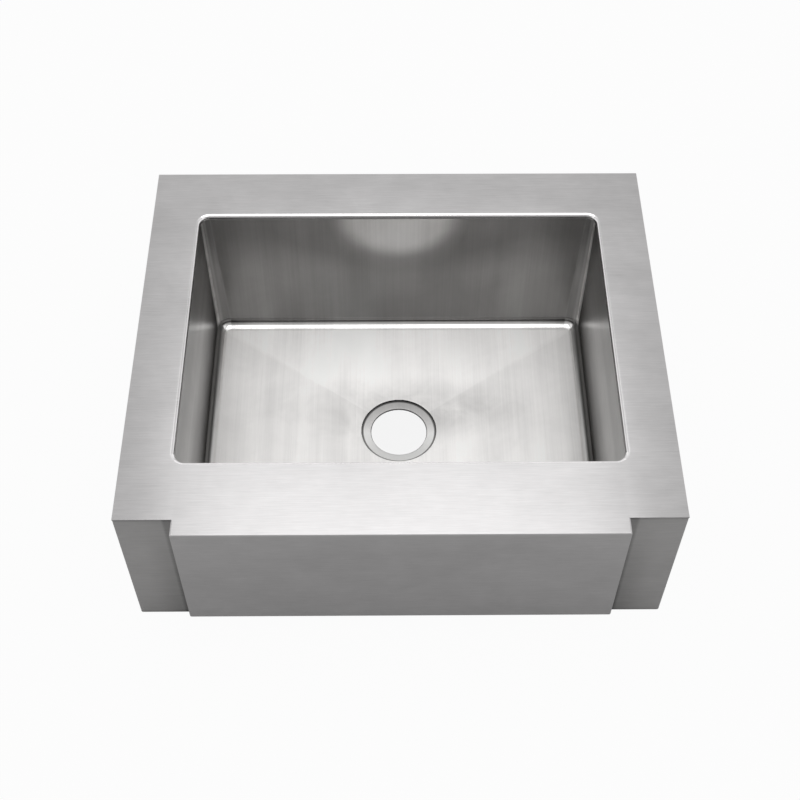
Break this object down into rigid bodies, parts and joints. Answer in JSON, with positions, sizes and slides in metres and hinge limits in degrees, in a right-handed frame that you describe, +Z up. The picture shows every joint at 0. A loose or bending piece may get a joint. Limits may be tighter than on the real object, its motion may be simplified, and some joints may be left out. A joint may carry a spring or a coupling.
{
  "type": "apron front kitchen sink",
  "caption": "Farmhouse sink in brushed stainless steel: flat ledges round one deep bowl with a central drain hole, a front apron that stands out between lower side wings.",
  "frame": {"origin": "middle of the footprint, at the level of the bottom edges of the wings", "axes": "+X along the apron to the right as seen from the front, +Y from the apron to the back ledge, +Z up"},
  "size_m": [0.762, 0.666, 0.262],
  "materials": {
    "brushed_sheet": "long brushed grain along the width",
    "drawn_bowl": "brushed grain, down the walls and from front to back on the floor",
    "plain_steel": "dull mill finish",
    "weld_metal": "rough, straw tinted",
    "sprayed_coat": "sprayed, grainy",
    "rubber_pad": "matt"
  },
  "bodies": {
    "root": {"deck_and_apron": "brushed_sheet", "left_wing": "brushed_sheet", "right_wing": "brushed_sheet", "bowl": "drawn_bowl", "undercoat": "sprayed_coat", "left_ledge_angle": "plain_steel", "right_ledge_angle": "plain_steel", "back_ledge_angle": "plain_steel", "front_ledge_channel": "plain_steel", "left_wing_gusset": "plain_steel", "right_wing_gusset": "plain_steel", "apron_brace": "plain_steel", "left_apron_stay": "plain_steel", "right_apron_stay": "plain_steel", "floor_pads": "rubber_pad", "left_wall_pad": "rubber_pad", "right_wall_pad": "rubber_pad", "back_wall_pad": "rubber_pad", "front_wall_pad": "rubber_pad", "apron_pads": "rubber_pad", "wing_welds": "weld_metal", "ledge_welds": "weld_metal", "apron_welds": "weld_metal"}
  },
  "joints": []
}
